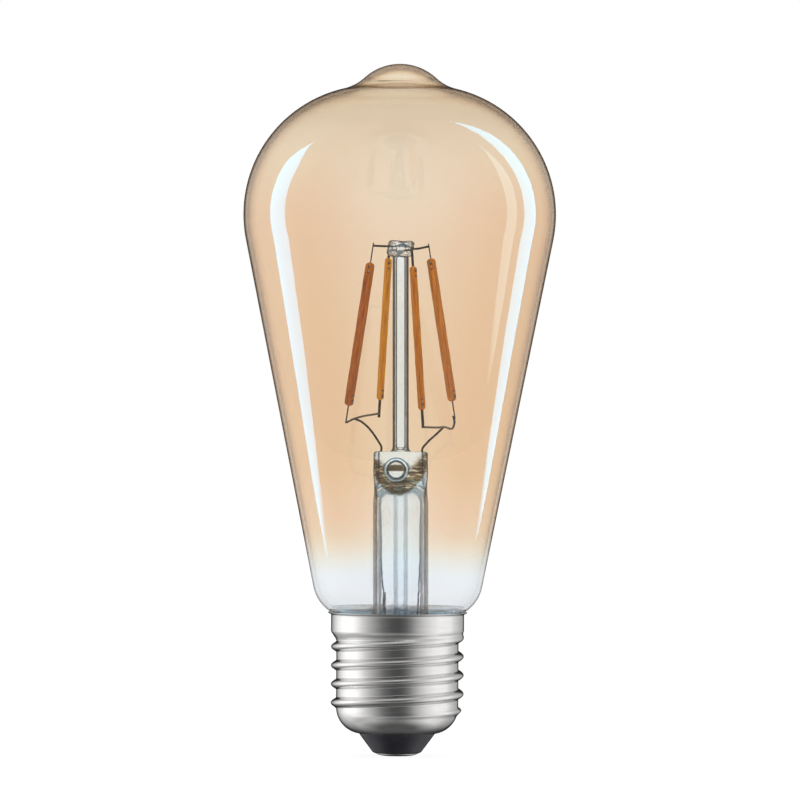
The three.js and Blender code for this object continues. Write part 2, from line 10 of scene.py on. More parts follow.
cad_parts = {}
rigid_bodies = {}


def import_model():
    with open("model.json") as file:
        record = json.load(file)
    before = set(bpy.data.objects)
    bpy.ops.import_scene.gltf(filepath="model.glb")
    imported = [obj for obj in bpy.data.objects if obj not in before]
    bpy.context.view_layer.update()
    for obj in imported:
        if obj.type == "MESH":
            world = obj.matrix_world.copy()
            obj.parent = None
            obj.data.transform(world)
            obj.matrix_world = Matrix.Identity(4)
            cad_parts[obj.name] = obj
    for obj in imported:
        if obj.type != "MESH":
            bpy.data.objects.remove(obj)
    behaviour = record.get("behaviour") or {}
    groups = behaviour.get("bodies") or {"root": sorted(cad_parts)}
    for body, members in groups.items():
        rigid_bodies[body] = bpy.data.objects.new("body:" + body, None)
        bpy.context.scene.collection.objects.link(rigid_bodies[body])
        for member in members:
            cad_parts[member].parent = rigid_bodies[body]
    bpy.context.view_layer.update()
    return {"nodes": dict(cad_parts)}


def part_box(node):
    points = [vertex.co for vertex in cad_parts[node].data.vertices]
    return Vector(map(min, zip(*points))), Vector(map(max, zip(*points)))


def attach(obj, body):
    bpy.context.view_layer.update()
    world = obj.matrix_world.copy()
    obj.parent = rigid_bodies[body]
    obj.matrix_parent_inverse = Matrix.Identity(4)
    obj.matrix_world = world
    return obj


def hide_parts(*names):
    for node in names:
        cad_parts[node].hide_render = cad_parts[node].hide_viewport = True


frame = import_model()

MM = 0.001

# ---------------------------------------------------------------- driving dimensions, mm
LAMP_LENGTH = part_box("glass_envelope")[1].z / MM
WIDEST_RADIUS = 31.75
WIDEST_HEIGHT = 110
GLASS_WALL = 0.7
CROWN_RADIUS = 26.2
CONE_ANGLE = radians(11.3)
TIP_RADIUS = 10.8
TIP_FILLET = 9.7
HEEL_RADIUS = 8
HEEL_HEIGHT = 34.4
HEEL_END = radians(65)
NECK_RADIUS = 11
NECK_TIP = (10.7, 21)
COAT_FOOT = 36
LONGEST_STEP = 0.9  # along a turned outline: longer faces would shade as if they were curved

THREAD_PITCH = 3.8
THREAD_ROOT = 12.42
THREAD_CREST = 13.5
THREAD_HALF_WIDTH = 1.08
THREAD_PHASE_HEIGHT = 22.15
THREAD_BOTTOM = (7.9, 9.9)
THREAD_TOP = (23.2, 25.6)
SHEET = 0.45
SKIRT_RADIUS = 13.52
SKIRT_TOP = 28.65
LIP_RADIUS = 14.2
LIP_HEIGHT = 29.15
CAP_DOME_RADIUS = 5.4
CAP_DOME_TOP = 9.9
CAP_HOLE_RADIUS = 7.95

STEM_RADIUS = 5.65
STEM_WALL = 0.95
PRESS_BOTTOM = 51.6
PRESS_FULL = 56.8
PRESS_TOP = 61.9
PRESS_HALF_THICKNESS = 2.4
PRESS_EDGE = 0.6
FLARE_RADIUS = 9.7
FLARE_BOTTOM = 21.2
FLARE_TOP = 30
CAVITY_TOP = 55.2
BLOW_HOLE = Vector((-0.9, 58.1))
BLOW_HOLE_RADIUS = 2.3
BOWL_FOOT = 52.9
BOWL_TOP = 59.2
BOWL_CURVE = 150  # how fast the bowl of melted glass climbs towards its sides, per metre
EXHAUST_RADIUS = 1.5
EXHAUST_BORE = 0.95
POST_RADIUS = 1.66
BEAD_RADIUS = 2.68
BEAD_BOTTOM = 101.4
BEAD_TOP = 104.7

FILAMENT_TOP = 100.5
FILAMENT_BOTTOM = 71.4
FILAMENT_TOP_RADIUS = 6.6
FILAMENT_BOTTOM_RADIUS = 11.4
FILAMENT_RADIAL = 1.9
FILAMENT_ACROSS = 1.35
FILAMENTS = {  # azimuth, and how far it sits above the others
    "right": (radians(22), 0.7),
    "back": (radians(112), 0.9),
    "left": (radians(202), -0.3),
    "front": (radians(292), -1.1),
}
LEAN = atan2(FILAMENT_BOTTOM_RADIUS - FILAMENT_TOP_RADIUS, FILAMENT_TOP - FILAMENT_BOTTOM)
FILAMENT_HALF = (FILAMENT_TOP - FILAMENT_BOTTOM) / 2 / cos(LEAN)
SIDE_WIRE_HEIGHT = 103.6
CROSS_WIRE_HEIGHT = 102.7
WIRE_RADIUS = 0.23
SEAL_WIRE_RADIUS = 0.2
STEM_LEAD_RADIUS = 0.16
LEAD_OFFSET = 4.2


def mix(a, b, t):
    return a + (b - a) * t


def smooth(value, low, high):
    t = min(max((value - low) / (high - low), 0), 1)
    return t * t * (3 - 2 * t)


def mount_lean(height):
    """How far the glass mount stands off the lamp's axis towards +X at a height, in millimetres."""
    return smooth(height, 22, 30) * (0.40 - 0.0052 * (height - 72))


# ---------------------------------------------------------------- materials
def new_material(name):
    material = bpy.data.materials.new(name)
    material.use_nodes = True
    tree = material.node_tree
    return material, tree, tree.nodes["Principled BSDF"]


def set_inputs(node, **values):
    """Sets sockets by name, with _ for each space."""
    for name, value in values.items():
        node.inputs[name.replace("_", " ")].default_value = value


def node_of(tree, kind, **settings):
    node = tree.nodes.new(kind)
    for name, value in settings.items():
        setattr(node, name, value)
    return node


def feed(tree, socket, value):
    """Links a socket, or sets a plain value."""
    if isinstance(value, bpy.types.NodeSocket):
        tree.links.new(value, socket)
    else:
        socket.default_value = value


def ramp(tree, source, *stops):
    node = tree.nodes.new("ShaderNodeValToRGB")
    elements = node.color_ramp.elements
    while len(elements) < len(stops):
        elements.new(0.5)
    for element, (place, colour) in zip(elements, stops):
        element.position = place
        element.color = (*colour, 1)
    tree.links.new(source, node.inputs["Fac"])
    return node.outputs["Color"]


def grey(value):
    return (value, value, value)


def object_place(tree):
    return tree.nodes.new("ShaderNodeTexCoord").outputs["Object"]


def stretched(tree, place, scale):
    node = tree.nodes.new("ShaderNodeMapping")
    node.inputs["Scale"].default_value = scale
    tree.links.new(place, node.inputs["Vector"])
    return node.outputs["Vector"]


def noise(tree, scale, detail=4, roughness=0.5, place=None):
    node = tree.nodes.new("ShaderNodeTexNoise")
    set_inputs(node, Scale=scale, Detail=detail, Roughness=roughness)
    tree.links.new(place or object_place(tree), node.inputs["Vector"])
    return node.outputs["Fac"]


def calculate(tree, operation, *terms, clamped=False):
    """One sum on sockets and plain numbers."""
    node = node_of(tree, "ShaderNodeMath", operation=operation, use_clamp=clamped)
    for socket, term in zip(node.inputs, terms):
        feed(tree, socket, term)
    return node.outputs["Value"]


def map_range(tree, source, low, high, to_low, to_high):
    node = tree.nodes.new("ShaderNodeMapRange")
    set_inputs(node, From_Min=low, From_Max=high, To_Min=to_low, To_Max=to_high)
    tree.links.new(source, node.inputs["Value"])
    return node.outputs["Result"]


def bump(tree, height, strength, distance):
    node = tree.nodes.new("ShaderNodeBump")
    set_inputs(node, Strength=strength, Distance=distance)
    tree.links.new(height, node.inputs["Height"])
    return node.outputs["Normal"]


def facing(tree):
    node = tree.nodes.new("ShaderNodeLayerWeight")
    node.inputs["Blend"].default_value = 0.5
    return node.outputs["Facing"]


def height_of(tree):
    split = tree.nodes.new("ShaderNodeSeparateXYZ")
    tree.links.new(object_place(tree), split.inputs["Vector"])
    return split.outputs["Z"]


def height_share(tree, low, high):
    """0 at the height low and 1 at high, in millimetres up the lamp."""
    return map_range(tree, height_of(tree), low * MM, high * MM, 0, 1)


def blend(tree, factor, a, b, kind="MIX"):
    """Mixes two colours, each a socket or a plain colour."""
    node = node_of(tree, "ShaderNodeMix", data_type="RGBA", blend_type=kind)
    feed(tree, node.inputs["Factor"], factor)
    for name, colour in (("A", a), ("B", b)):
        feed(tree, node.inputs[name], (*colour, 1) if isinstance(colour, tuple) else colour)
    return node.outputs["Result"]


def new_glass(name, sheen):
    """Clear, colourless glass. Sheen is how strongly its skin mirrors the studio."""
    material, tree, glass = new_material(name)
    set_inputs(glass, Roughness=0.0, IOR=1.5, Specular_IOR_Level=sheen)
    return material, tree, glass


def amber_glass():
    """Clear at the neck and coated amber above it. Towards its outlines it darkens, a little from the coat
    seen slantwise and mostly from painted shade, nearly black at the outline and round the tip's nub.
    """
    material, tree, glass = new_glass("amber_coated_glass", 0.3)
    glass.inputs["Transmission Weight"].default_value = 1
    coat_by_height = (
        (COAT_FOOT, (0.900, 0.924, 0.946)),
        (39.5, (0.913, 0.931, 0.916)),
        (43.0, (0.932, 0.897, 0.820)),
        (48.0, (0.937, 0.849, 0.746)),
        (58.0, (0.915, 0.806, 0.668)),
        (72.0, (0.917, 0.799, 0.656)),
        (92.0, (0.922, 0.810, 0.676)),
        (110.0, (0.926, 0.825, 0.708)),
        (122.0, (0.932, 0.890, 0.800)),
        (126.5, (0.928, 0.890, 0.818)),
        (131.0, (0.882, 0.846, 0.760)),
        (LAMP_LENGTH, (0.970, 0.915, 0.820)),
    )
    span = LAMP_LENGTH - COAT_FOOT
    coat = ramp(
        tree, height_share(tree, COAT_FOOT, LAMP_LENGTH),
        *[((height - COAT_FOOT) / span, colour) for height, colour in coat_by_height],
    )
    # Painted shade: the coated glass darkens as it turns away from the view, to nearly black at the outline.
    coated_edge_shade = ramp(
        tree, facing(tree),
        (0.0, grey(1)),
        (0.045, (0.985, 0.955, 0.930)),
        (0.10, (0.962, 0.898, 0.855)),
        (0.22, (0.950, 0.868, 0.787)),
        (0.45, (0.935, 0.888, 0.818)),
        (0.53, (0.918, 0.864, 0.780)),
        (0.62, (0.935, 0.865, 0.752)),
        (0.68, (0.868, 0.754, 0.611)),
        (0.74, (0.745, 0.600, 0.440)),
        (0.80, (0.420, 0.290, 0.185)),
        (0.86, (0.160, 0.100, 0.070)),
        (0.92, (0.035, 0.022, 0.018)),
    )
    # Painted shade along the clear neck's outline.
    clear_edge_shade = ramp(
        tree, facing(tree),
        (0.0, grey(1)), (0.5, grey(0.985)), (0.75, grey(0.93)), (0.88, grey(0.72)), (0.96, grey(0.25)),
    )
    # Painted shade round the tip's nub.
    tip_edge_shade = ramp(
        tree, facing(tree),
        (0.0, grey(1)),
        (0.20, (0.99, 0.97, 0.94)),
        (0.40, (0.98, 0.95, 0.90)),
        (0.54, (0.80, 0.64, 0.46)),
        (0.66, (0.22, 0.13, 0.075)),
        (0.90, (0.06, 0.035, 0.03)),
    )
    edge_shade = blend(tree, height_share(tree, 37, 45), clear_edge_shade, coated_edge_shade)
    edge_shade = blend(tree, height_share(tree, 136.3, 137.3), edge_shade, tip_edge_shade)
    tree.links.new(blend(tree, 1.0, coat, edge_shade, "MULTIPLY"), glass.inputs["Base Color"])
    tree.links.new(bump(tree, noise(tree, 28, 2), 0.05, 0.0004), glass.inputs["Normal"])
    return material


def clear_glass(name, edge_shade_stops, milky, wave=0.0):
    """Soft glass that is a little milky, with painted shade in dark lines where it turns away."""
    material, tree, glass = new_glass(name, 0.12)
    tree.links.new(ramp(tree, facing(tree), *edge_shade_stops), glass.inputs["Base Color"])
    glass.inputs["Transmission Weight"].default_value = 1 - milky
    if wave:
        tree.links.new(bump(tree, noise(tree, 520, 3, 0.55), wave, 0.0006), glass.inputs["Normal"])
    return material


def in_the_bowl(tree):
    """1 in the rounded bowl of melted glass under the blow hole, fading out above and below it."""
    place = tree.nodes.new("ShaderNodeSeparateXYZ")
    tree.links.new(object_place(tree), place.inputs["Vector"])
    square = calculate(tree, "MULTIPLY", place.outputs["X"], place.outputs["X"])
    height = calculate(tree, "MULTIPLY_ADD", square, -BOWL_CURVE, place.outputs["Z"])
    return ramp(
        tree, map_range(tree, height, BOWL_FOOT * MM, BOWL_TOP * MM, 0, 1),
        (0.0, grey(0)), (0.06, grey(1)), (0.66, grey(1)), (0.92, grey(0)),
    )


def in_the_blow_hole(tree):
    """1 inside the blow hole, seen along Y."""
    flat = node_of(tree, "ShaderNodeVectorMath", operation="MULTIPLY")
    tree.links.new(object_place(tree), flat.inputs[0])
    flat.inputs[1].default_value = (1, 0, 1)
    apart = node_of(tree, "ShaderNodeVectorMath", operation="DISTANCE")
    tree.links.new(flat.outputs["Vector"], apart.inputs[0])
    apart.inputs[1].default_value = ((BLOW_HOLE.x + mount_lean(BLOW_HOLE.y)) * MM, 0, BLOW_HOLE.y * MM)
    edge = BLOW_HOLE_RADIUS - 0.1
    return map_range(tree, apart.outputs["Value"], edge * MM, (edge - 0.3) * MM, 0, 1)


def stem_material():
    """The stem: clear tube melted shut under the press, with painted shade and painted amber reflections in
    streaks there, painted shade in the upper blow hole, and dark painted shade lines where its walls turn
    away.
    """
    material, tree, glass = new_glass("pinched_stem_glass", 0.12)
    clarity = ramp(
        tree, height_share(tree, 29, 59),
        (0.0, grey(1)), (0.27, grey(0.985)), (0.45, grey(0.955)), (0.75, grey(0.925)), (0.93, grey(0.85)),
        (1, grey(0.85)),
    )
    tree.links.new(clarity, glass.inputs["Transmission Weight"])
    # Painted shade and painted amber reflections in streaks through the bowl under the press.
    streaks = ramp(
        tree, noise(tree, 1150, 5, 0.62, stretched(tree, object_place(tree), (0.45, 0.45, 2.3))),
        (0.40, (0.003, 0.002, 0.002)),
        (0.46, (0.04, 0.025, 0.012)),
        (0.50, (0.34, 0.22, 0.09)),
        (0.53, (0.02, 0.013, 0.006)),
        (0.58, (0.62, 0.50, 0.28)),
        (0.62, (1.0, 0.98, 0.94)),
    )
    # Painted shade: dark lines where the stem's walls turn away.
    edge_shade = ramp(
        tree, facing(tree),
        (0.0, grey(0.985)),
        (0.42, (0.97, 0.97, 0.975)),
        (0.48, (0.012, 0.010, 0.010)),
        (0.55, (0.05, 0.04, 0.036)),
        (0.80, (0.07, 0.052, 0.046)),
        (0.90, (0.012, 0.010, 0.009)),
        (1.0, (0.01, 0.008, 0.007)),
    )
    # Painted shade across the upper part of the blow hole.
    hole = ramp(
        tree, height_share(tree, BLOW_HOLE.y - 2, BLOW_HOLE.y + 2),
        (0.0, grey(1)), (0.42, grey(1)), (0.48, (0.09, 0.065, 0.04)), (0.74, (0.13, 0.095, 0.055)),
        (0.82, grey(1)),
    )
    painted_shading = blend(tree, in_the_bowl(tree), grey(1), streaks)
    painted_shading = blend(tree, in_the_blow_hole(tree), painted_shading, hole)
    tree.links.new(blend(tree, 1.0, edge_shade, painted_shading, "MULTIPLY"), glass.inputs["Base Color"])
    tree.links.new(bump(tree, noise(tree, 420, 3, 0.5), 0.12, 0.0005), glass.inputs["Normal"])
    return material


def phosphor(name, deep, middle, light):
    """Orange silicone with lengthwise streaks, on the bar's own across and along map."""
    material, tree, skin = new_material(name)
    lengthwise = stretched(tree, tree.nodes.new("ShaderNodeTexCoord").outputs["UV"], (3.2, 0.16, 1))
    streaks = ramp(tree, noise(tree, 1.0, 4, 0.6, lengthwise), (0.34, deep), (0.5, middle), (0.66, light))
    mottled = ramp(tree, noise(tree, 1400, 4, 0.6), (0.3, grey(0.86)), (0.7, grey(1)))
    tree.links.new(blend(tree, 1.0, streaks, mottled, "MULTIPLY"), skin.inputs["Base Color"])
    tree.links.new(bump(tree, noise(tree, 2200, 3), 0.12, 0.0001), skin.inputs["Normal"])
    set_inputs(skin, Roughness=0.42, Specular_IOR_Level=0.05)
    return material


def satin_nickel():
    material, tree, metal = new_material("satin_nickel")
    brushed = noise(tree, 260, 5, 0.65, stretched(tree, object_place(tree), (1, 1, 7)))
    colour = ramp(tree, brushed, (0.35, (0.755, 0.745, 0.74)), (0.65, (0.815, 0.81, 0.80)))
    tree.links.new(colour, metal.inputs["Base Color"])
    tree.links.new(map_range(tree, noise(tree, 420, 4), 0.3, 0.7, 0.12, 0.17), metal.inputs["Roughness"])
    tree.links.new(bump(tree, brushed, 0.05, 0.00006), metal.inputs["Normal"])
    set_inputs(metal, Metallic=1)
    return material


def dark_wire():
    material, tree, metal = new_material("dull_nickel_wire")
    colour = ramp(tree, noise(tree, 1500, 4), (0.42, (0.006, 0.006, 0.007)), (0.72, (0.09, 0.088, 0.09)))
    tree.links.new(colour, metal.inputs["Base Color"])
    set_inputs(metal, Metallic=1, Roughness=0.2)
    return material


def black_vitrite():
    material, tree, skin = new_material("black_cap_glass")
    colour = ramp(tree, noise(tree, 300, 4), (0.35, (0.010, 0.010, 0.014)), (0.65, (0.016, 0.015, 0.021)))
    tree.links.new(colour, skin.inputs["Base Color"])
    tree.links.new(bump(tree, noise(tree, 500, 3), 0.05, 0.0002), skin.inputs["Normal"])
    set_inputs(skin, Roughness=0.22)
    return material


def plain(name, low, high, scale, roughness, metallic=0.0):
    """A finish mottled between two colours."""
    material, tree, skin = new_material(name)
    tree.links.new(ramp(tree, noise(tree, scale), (0.35, low), (0.65, high)), skin.inputs["Base Color"])
    tree.links.new(bump(tree, noise(tree, scale * 4, 2), 0.1, 0.0001), skin.inputs["Normal"])
    set_inputs(skin, Roughness=roughness, Metallic=metallic)
    return material


AMBER = amber_glass()
STEM = stem_material()
# The stops of the tube, rod and bead are painted shade: dark lines where the glass turns away.
TUBE = clear_glass(
    "clear_tube_glass",
    [
        (0.0, grey(0.98)), (0.18, grey(0.95)), (0.30, grey(0.16)), (0.42, grey(0.30)), (0.6, grey(0.6)),
        (0.95, grey(0.2)),
    ],
    0.01,
)
ROD = clear_glass(
    "clear_rod_glass",
    [
        (0.0, (0.99, 0.995, 1.0)), (0.085, (0.97, 0.98, 1.0)), (0.12, grey(0.010)), (0.17, grey(0.010)),
        (0.22, grey(0.55)), (0.30, grey(0.45)), (0.37, grey(0.012)), (0.95, grey(0.008)),
    ],
    0.16,
)
BEAD = clear_glass(
    "melted_bead_glass",
    [
        (0.0, grey(0.98)), (0.07, grey(0.90)), (0.10, grey(0.02)), (0.14, grey(0.98)), (0.26, grey(0.6)),
        (0.30, grey(0.05)), (0.36, grey(0.98)), (0.50, grey(0.03)), (0.95, grey(0.01)),
    ],
    0.10,
    0.6,
)
# Darker and lighter copies of one orange phosphor: painted shade for the left filament, painted light for the
# back one.
SHADED_PHOSPHOR = phosphor(
    "orange_phosphor_painted_shade", (0.36, 0.078, 0.001), (0.54, 0.150, 0.001), (0.70, 0.25, 0.003)
)
ORANGE_PHOSPHOR = phosphor("orange_phosphor", (0.47, 0.128, 0.001), (0.72, 0.24, 0.001), (0.90, 0.38, 0.004))
LIT_PHOSPHOR = phosphor("orange_phosphor_painted_light", (0.70, 0.21, 0.003), (0.97, 0.39, 0.006), (1.0, 0.53, 0.02))
FILAMENT_SKINS = {
    "left": SHADED_PHOSPHOR,
    "front": ORANGE_PHOSPHOR,
    "right": ORANGE_PHOSPHOR,
    "back": LIT_PHOSPHOR,
}
NICKEL = satin_nickel()
WIRE = dark_wire()
VITRITE = black_vitrite()
DUMET = plain("copper_clad_seal_wire", (0.07, 0.02, 0.016), (0.14, 0.04, 0.03), 900, 0.5, 1)
FOLD = plain("brown_glass_fold", (0.10, 0.045, 0.02), (0.34, 0.19, 0.09), 900, 0.3)
CHIP = plain("brown_chip", (0.02, 0.011, 0.006), (0.06, 0.03, 0.012), 1800, 0.75)
PAD = plain("white_bond_pad", (0.80, 0.78, 0.70), (0.92, 0.90, 0.84), 1500, 0.3)
COPPER = plain("copper_wire", (0.45, 0.24, 0.13), (0.56, 0.32, 0.18), 900, 0.4, 1)


# ---------------------------------------------------------------- modelling helpers
def lean_mount(bm):
    for vert in bm.verts:
        vert.co.x += mount_lean(vert.co.z / MM) * MM


def mesh_object(name, bm, material):
    mesh = bpy.data.meshes.new(name)
    bm.to_mesh(mesh)
    bm.free()
    mesh.materials.append(material)
    obj = bpy.data.objects.new(name, mesh)
    bpy.context.scene.collection.objects.link(obj)
    return obj


def hand_over(obj, stands_for):
    """Gives a piece its body and the CAD nodes it stands for."""
    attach(obj, "root")
    if stands_for:
        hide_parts(*stands_for)
    return obj


def piece(bm, name, material, slot, *stands_for):
    obj = mesh_object(name, bm, material)
    obj.data.shade_smooth()
    return hand_over(obj, stands_for)


def on_circle(centre, radius, angle):
    return (centre[0] + radius * cos(angle), centre[1] + radius * sin(angle))


def arc(centre, radius, start, end, steps):
    return [on_circle(centre, radius, mix(start, end, i / steps)) for i in range(steps + 1)]


def turned(outline, segments, closed=False):
    """Spins an outline of (radius, height) points in millimetres round the lamp's axis."""
    bm = bmesh.new()
    fine = [outline[0]]
    for (r0, z0), (r1, z1) in zip(outline, outline[1:]):
        steps = max(1, round(hypot(r1 - r0, z1 - z0) / LONGEST_STEP))
        fine += [(mix(r0, r1, i / steps), mix(z0, z1, i / steps)) for i in range(1, steps + 1)]
    verts = [bm.verts.new((r * MM, 0, z * MM)) for r, z in fine]
    edges = [bm.edges.new(pair) for pair in zip(verts, verts[1:])]
    if closed:
        edges.append(bm.edges.new((verts[-1], verts[0])))
    bmesh.ops.spin(
        bm, geom=verts + edges, cent=(0, 0, 0), axis=(0, 0, 1), angle=2 * pi, steps=segments, use_merge=True
    )
    bmesh.ops.remove_doubles(bm, verts=bm.verts, dist=1e-7)
    bmesh.ops.recalc_face_normals(bm, faces=bm.faces)
    return bm


def wire(name, points, radius, material, slot, *stands_for):
    """A round wire along a smooth line through the points, in millimetres, its ends closed."""
    curve = bpy.data.curves.new(name, "CURVE")
    curve.dimensions = "3D"
    curve.bevel_depth = radius * MM
    curve.bevel_resolution = 3
    curve.resolution_u = 8
    curve.use_fill_caps = True
    line = curve.splines.new("BEZIER")
    line.bezier_points.add(len(points) - 1)
    for bezier, place in zip(line.bezier_points, points):
        bezier.co = (Vector(place) + Vector((mount_lean(place[2]), 0, 0))) * MM
        bezier.handle_left_type = "AUTO"
        bezier.handle_right_type = "AUTO"
    curve.materials.append(material)
    obj = bpy.data.objects.new(name, curve)
    bpy.context.scene.collection.objects.link(obj)
    return hand_over(obj, stands_for)


# ---------------------------------------------------------------- envelope
def fillet_centre(a, radius_a, b, radius_b, fillet):
    """The centre of the arc that joins two circles smoothly from outside."""
    reach_a = radius_a + fillet
    reach_b = radius_b + fillet
    between = hypot(b[0] - a[0], b[1] - a[1])
    along = (reach_a**2 - reach_b**2 + between**2) / (2 * between)
    aside = sqrt(reach_a**2 - along**2)
    ux = (b[0] - a[0]) / between
    uz = (b[1] - a[1]) / between
    return (a[0] + ux * along - uz * aside, a[1] + uz * along + ux * aside)


def envelope_outline(inset):
    tip = (0, LAMP_LENGTH - TIP_RADIUS)
    crown = (WIDEST_RADIUS - CROWN_RADIUS, WIDEST_HEIGHT)
    fillet = fillet_centre(tip, TIP_RADIUS, crown, CROWN_RADIUS, TIP_FILLET)
    tip_end = atan2(fillet[1] - tip[1], fillet[0] - tip[0])
    crown_start = atan2(fillet[1] - crown[1], fillet[0] - crown[0])
    cone_top = on_circle(crown, CROWN_RADIUS, -CONE_ANGLE)
    cone_foot = (cone_top[0] - (cone_top[1] - HEEL_HEIGHT) * tan(CONE_ANGLE), HEEL_HEIGHT)
    heel = on_circle(cone_foot, -HEEL_RADIUS, -CONE_ANGLE)
    heel_foot = on_circle(heel, HEEL_RADIUS, -HEEL_END)
    neck_fillet = (heel_foot[0] - NECK_RADIUS) / (1 - cos(HEEL_END))
    neck = on_circle(heel_foot, neck_fillet, -HEEL_END)
    inwards = (-inset * cos(CONE_ANGLE), inset * sin(CONE_ANGLE))
    cone = [
        tuple(mix(top, foot, i / 24) + shift for top, foot, shift in zip(cone_top, cone_foot, inwards))
        for i in range(1, 24)
    ]
    points = [
        *arc(tip, TIP_RADIUS - inset, pi / 2, tip_end, 20),
        *arc(fillet, TIP_FILLET + inset, pi + tip_end, pi + crown_start, 10)[1:],
        *arc(crown, CROWN_RADIUS - inset, crown_start, -CONE_ANGLE, 48)[1:],
        *cone,
        *arc(heel, HEEL_RADIUS - inset, -CONE_ANGLE, -HEEL_END, 16),
        *arc(neck, neck_fillet + inset, pi - HEEL_END, pi, 6)[1:],
        (NECK_RADIUS - inset, 24.8),
        (NECK_TIP[0] - inset, NECK_TIP[1]),
    ]
    points[0] = (0, points[0][1])
    return points


def make_envelope():
    inside = envelope_outline(GLASS_WALL)
    outside = envelope_outline(0)
    bm = turned(inside + outside[::-1], 192)
    return piece(bm, "bulb_glass", AMBER, "amber_glass", "glass_envelope")


# ---------------------------------------------------------------- screw cap
def thread_height(height, angle):
    """A rounded bead that climbs the wall one pitch a turn, between flat roots."""
    turns = (height - THREAD_PHASE_HEIGHT) / THREAD_PITCH - (angle - pi) / (2 * pi)
    off = (turns - round(turns)) * THREAD_PITCH / THREAD_HALF_WIDTH
    crest = max(1 - off * off, 0) ** 1.15
    grown = smooth(height, *THREAD_BOTTOM)
    left = 1 - smooth(height, *THREAD_TOP)
    return (THREAD_CREST - THREAD_ROOT) * crest * grown * left


def wall_radius(height):
    skirt = smooth(height, *THREAD_TOP) * (SKIRT_RADIUS - THREAD_ROOT)
    lip = smooth(height, SKIRT_TOP, LIP_HEIGHT) * (LIP_RADIUS - SKIRT_RADIUS)
    return THREAD_ROOT + skirt + lip


def cap_wall(inset):
    """The cap's outline before the thread, from the hole in its dome up to the lip."""
    dome = (THREAD_ROOT - CAP_DOME_RADIUS, CAP_DOME_TOP)
    hole = -acos((CAP_HOLE_RADIUS - dome[0]) / (CAP_DOME_RADIUS - inset))
    points = arc(dome, CAP_DOME_RADIUS - inset, hole, 0, 24)
    row = THREAD_PITCH / 30
    rows = [CAP_DOME_TOP + i * row for i in range(1, int((THREAD_TOP[1] - CAP_DOME_TOP) / row))]
    rows += [mix(THREAD_TOP[1], SKIRT_TOP, i / 6) for i in range(7)]
    rows += [mix(SKIRT_TOP, LIP_HEIGHT, i / 6) for i in range(1, 7)]
    return points + [(wall_radius(z) - inset, z) for z in rows]


def make_cap():
    bm = turned(cap_wall(0) + cap_wall(SHEET)[::-1], 160, closed=True)
    for vert in bm.verts:
        x, y, z = vert.co / MM
        outer = z < CAP_DOME_TOP - 1.5 or hypot(x, y) > wall_radius(z) - SHEET / 2
        grown = 1 + thread_height(z, atan2(y, x)) / hypot(x, y) * outer
        vert.co.x *= grown
        vert.co.y *= grown
    return piece(bm, "cap_sheet", NICKEL, "cap_metal", "cap_shell")


def make_insulator():
    outline = [
        (1.5, 0.62), (4.35, 0.56), (4.62, 0.60), (4.88, 0.74), (5.12, 0.98),
        (5.35, 1.30), (7.45, 4.15), (7.65, 4.45), (7.74, 4.7), (7.74, 5.8),
        (8.9, 6.2), (9.2, 6.4), (8.9, 7.0), (4.8, 7.0), (3.4, 5.0), (1.5, 5.0),
    ]
    bm = turned(outline, 96, closed=True)
    return piece(bm, "black_insulator_ring", VITRITE, "black_insulator", "cap_insulator")


def make_contact():
    outline = [
        (0, 0), (1.9, 0.0), (2.6, 0.03), (3.2, 0.10), (3.8, 0.24), (4.2, 0.40), (4.3, 0.5),
        (4.2, 0.56), (1.2, 0.56), (1.2, 3.5), (0.9, 3.6), (0, 3.6),
    ]
    bm = turned(outline, 72)
    return piece(bm, "contact_button", NICKEL, "cap_metal", "centre_contact")


# ---------------------------------------------------------------- glass mount
def pinch(bm):
    """Flattens the top of the stem's tube, front to back, into the press."""
    for vert in bm.verts:
        flat = smooth(vert.co.z / MM, PRESS_BOTTOM, PRESS_FULL)
        vert.co.y *= 1 - flat * (1 - PRESS_HALF_THICKNESS / STEM_RADIUS)


def stem_outline():
    """The stem's outer and inner outlines, both from the flare upwards, before the press is pinched."""
    flare = []
    for i in range(11):
        radius = STEM_RADIUS + (FLARE_RADIUS - STEM_RADIUS) * (1 - i / 10) ** 2.2
        flare.append((radius, mix(FLARE_BOTTOM, FLARE_TOP, i / 10)))
    tube_rows = [mix(FLARE_TOP, PRESS_BOTTOM, i / 6) for i in range(1, 7)]
    waist = []
    for i in range(1, 41):
        z = mix(PRESS_BOTTOM, PRESS_TOP - PRESS_EDGE, i / 40)
        waist.append((STEM_RADIUS - 0.25 * sin(smooth(z, 50.5, 58.5) * pi) - 0.12 * smooth(z, 56, 60), z))
    corner = arc((waist[-1][0] - PRESS_EDGE, PRESS_TOP - PRESS_EDGE), PRESS_EDGE, 0, pi / 2, 5)[1:]
    top = [(mix(corner[-1][0], 0, i / 14), PRESS_TOP) for i in range(1, 15)]
    inner = STEM_RADIUS - STEM_WALL
    dome = []
    for i in range(1, 13):
        turn = i / 12 * pi / 2
        dome.append((inner * cos(turn), PRESS_BOTTOM + (CAVITY_TOP - PRESS_BOTTOM) * sin(turn)))
    dome[-1] = (0, CAVITY_TOP)
    outside = flare + [(STEM_RADIUS, z) for z in tube_rows] + waist + corner + top
    inside = [(r - STEM_WALL, z) for r, z in flare] + [(inner, z) for z in tube_rows] + dome
    return outside, inside


